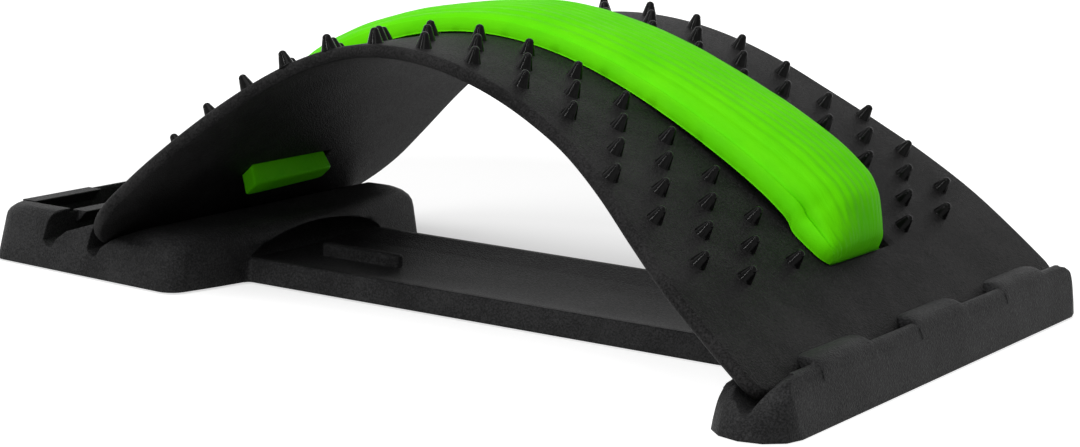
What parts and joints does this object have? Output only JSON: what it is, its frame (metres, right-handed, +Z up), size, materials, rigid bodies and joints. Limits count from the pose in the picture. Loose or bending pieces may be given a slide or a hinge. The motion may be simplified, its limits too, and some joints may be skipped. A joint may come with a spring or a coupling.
{
  "type": "arched back stretcher",
  "caption": "Arched back stretcher: a bent black nubbed board with a green foam strip along its middle, standing in a base with grooves that set the height of the arch.",
  "frame": {"origin": "Centre of the overall box in X and Y, at the bottom of the feet, which is the floor.", "axes": "+X points from the grooved rear block to the front rail that holds the board's front edge, +Y points across the board to the user's left as the user faces +X, and +Z points up."},
  "size_m": [0.387, 0.268, 0.1165],
  "materials": {
    "base_plastic": "black injection-moulded plastic with a fine even grain",
    "board_plastic": "black flexible moulded plastic, satin, with glossier nubs",
    "pad_foam": "bright green moulded closed-cell foam with fine lengthwise ribs",
    "foot_rubber": "matt black rubber disc"
  },
  "bodies": {
    "base": {"base_frame": "base_plastic", "foot_rear_right": "foot_rubber", "foot_rear_left": "foot_rubber", "foot_mid_right": "foot_rubber", "foot_mid_left": "foot_rubber", "foot_front_right": "foot_rubber", "foot_front_left": "foot_rubber"},
    "arch": {"arch_board": "board_plastic", "foam_pad": "pad_foam"}
  },
  "joints": [
    {"name": "board_hinge", "type": "hinge", "parent": "base", "child": "arch", "pos_m": [0.1801, 0, 0.01486], "axis": [0, 1, 0], "range_deg": [0, 10]}
  ]
}
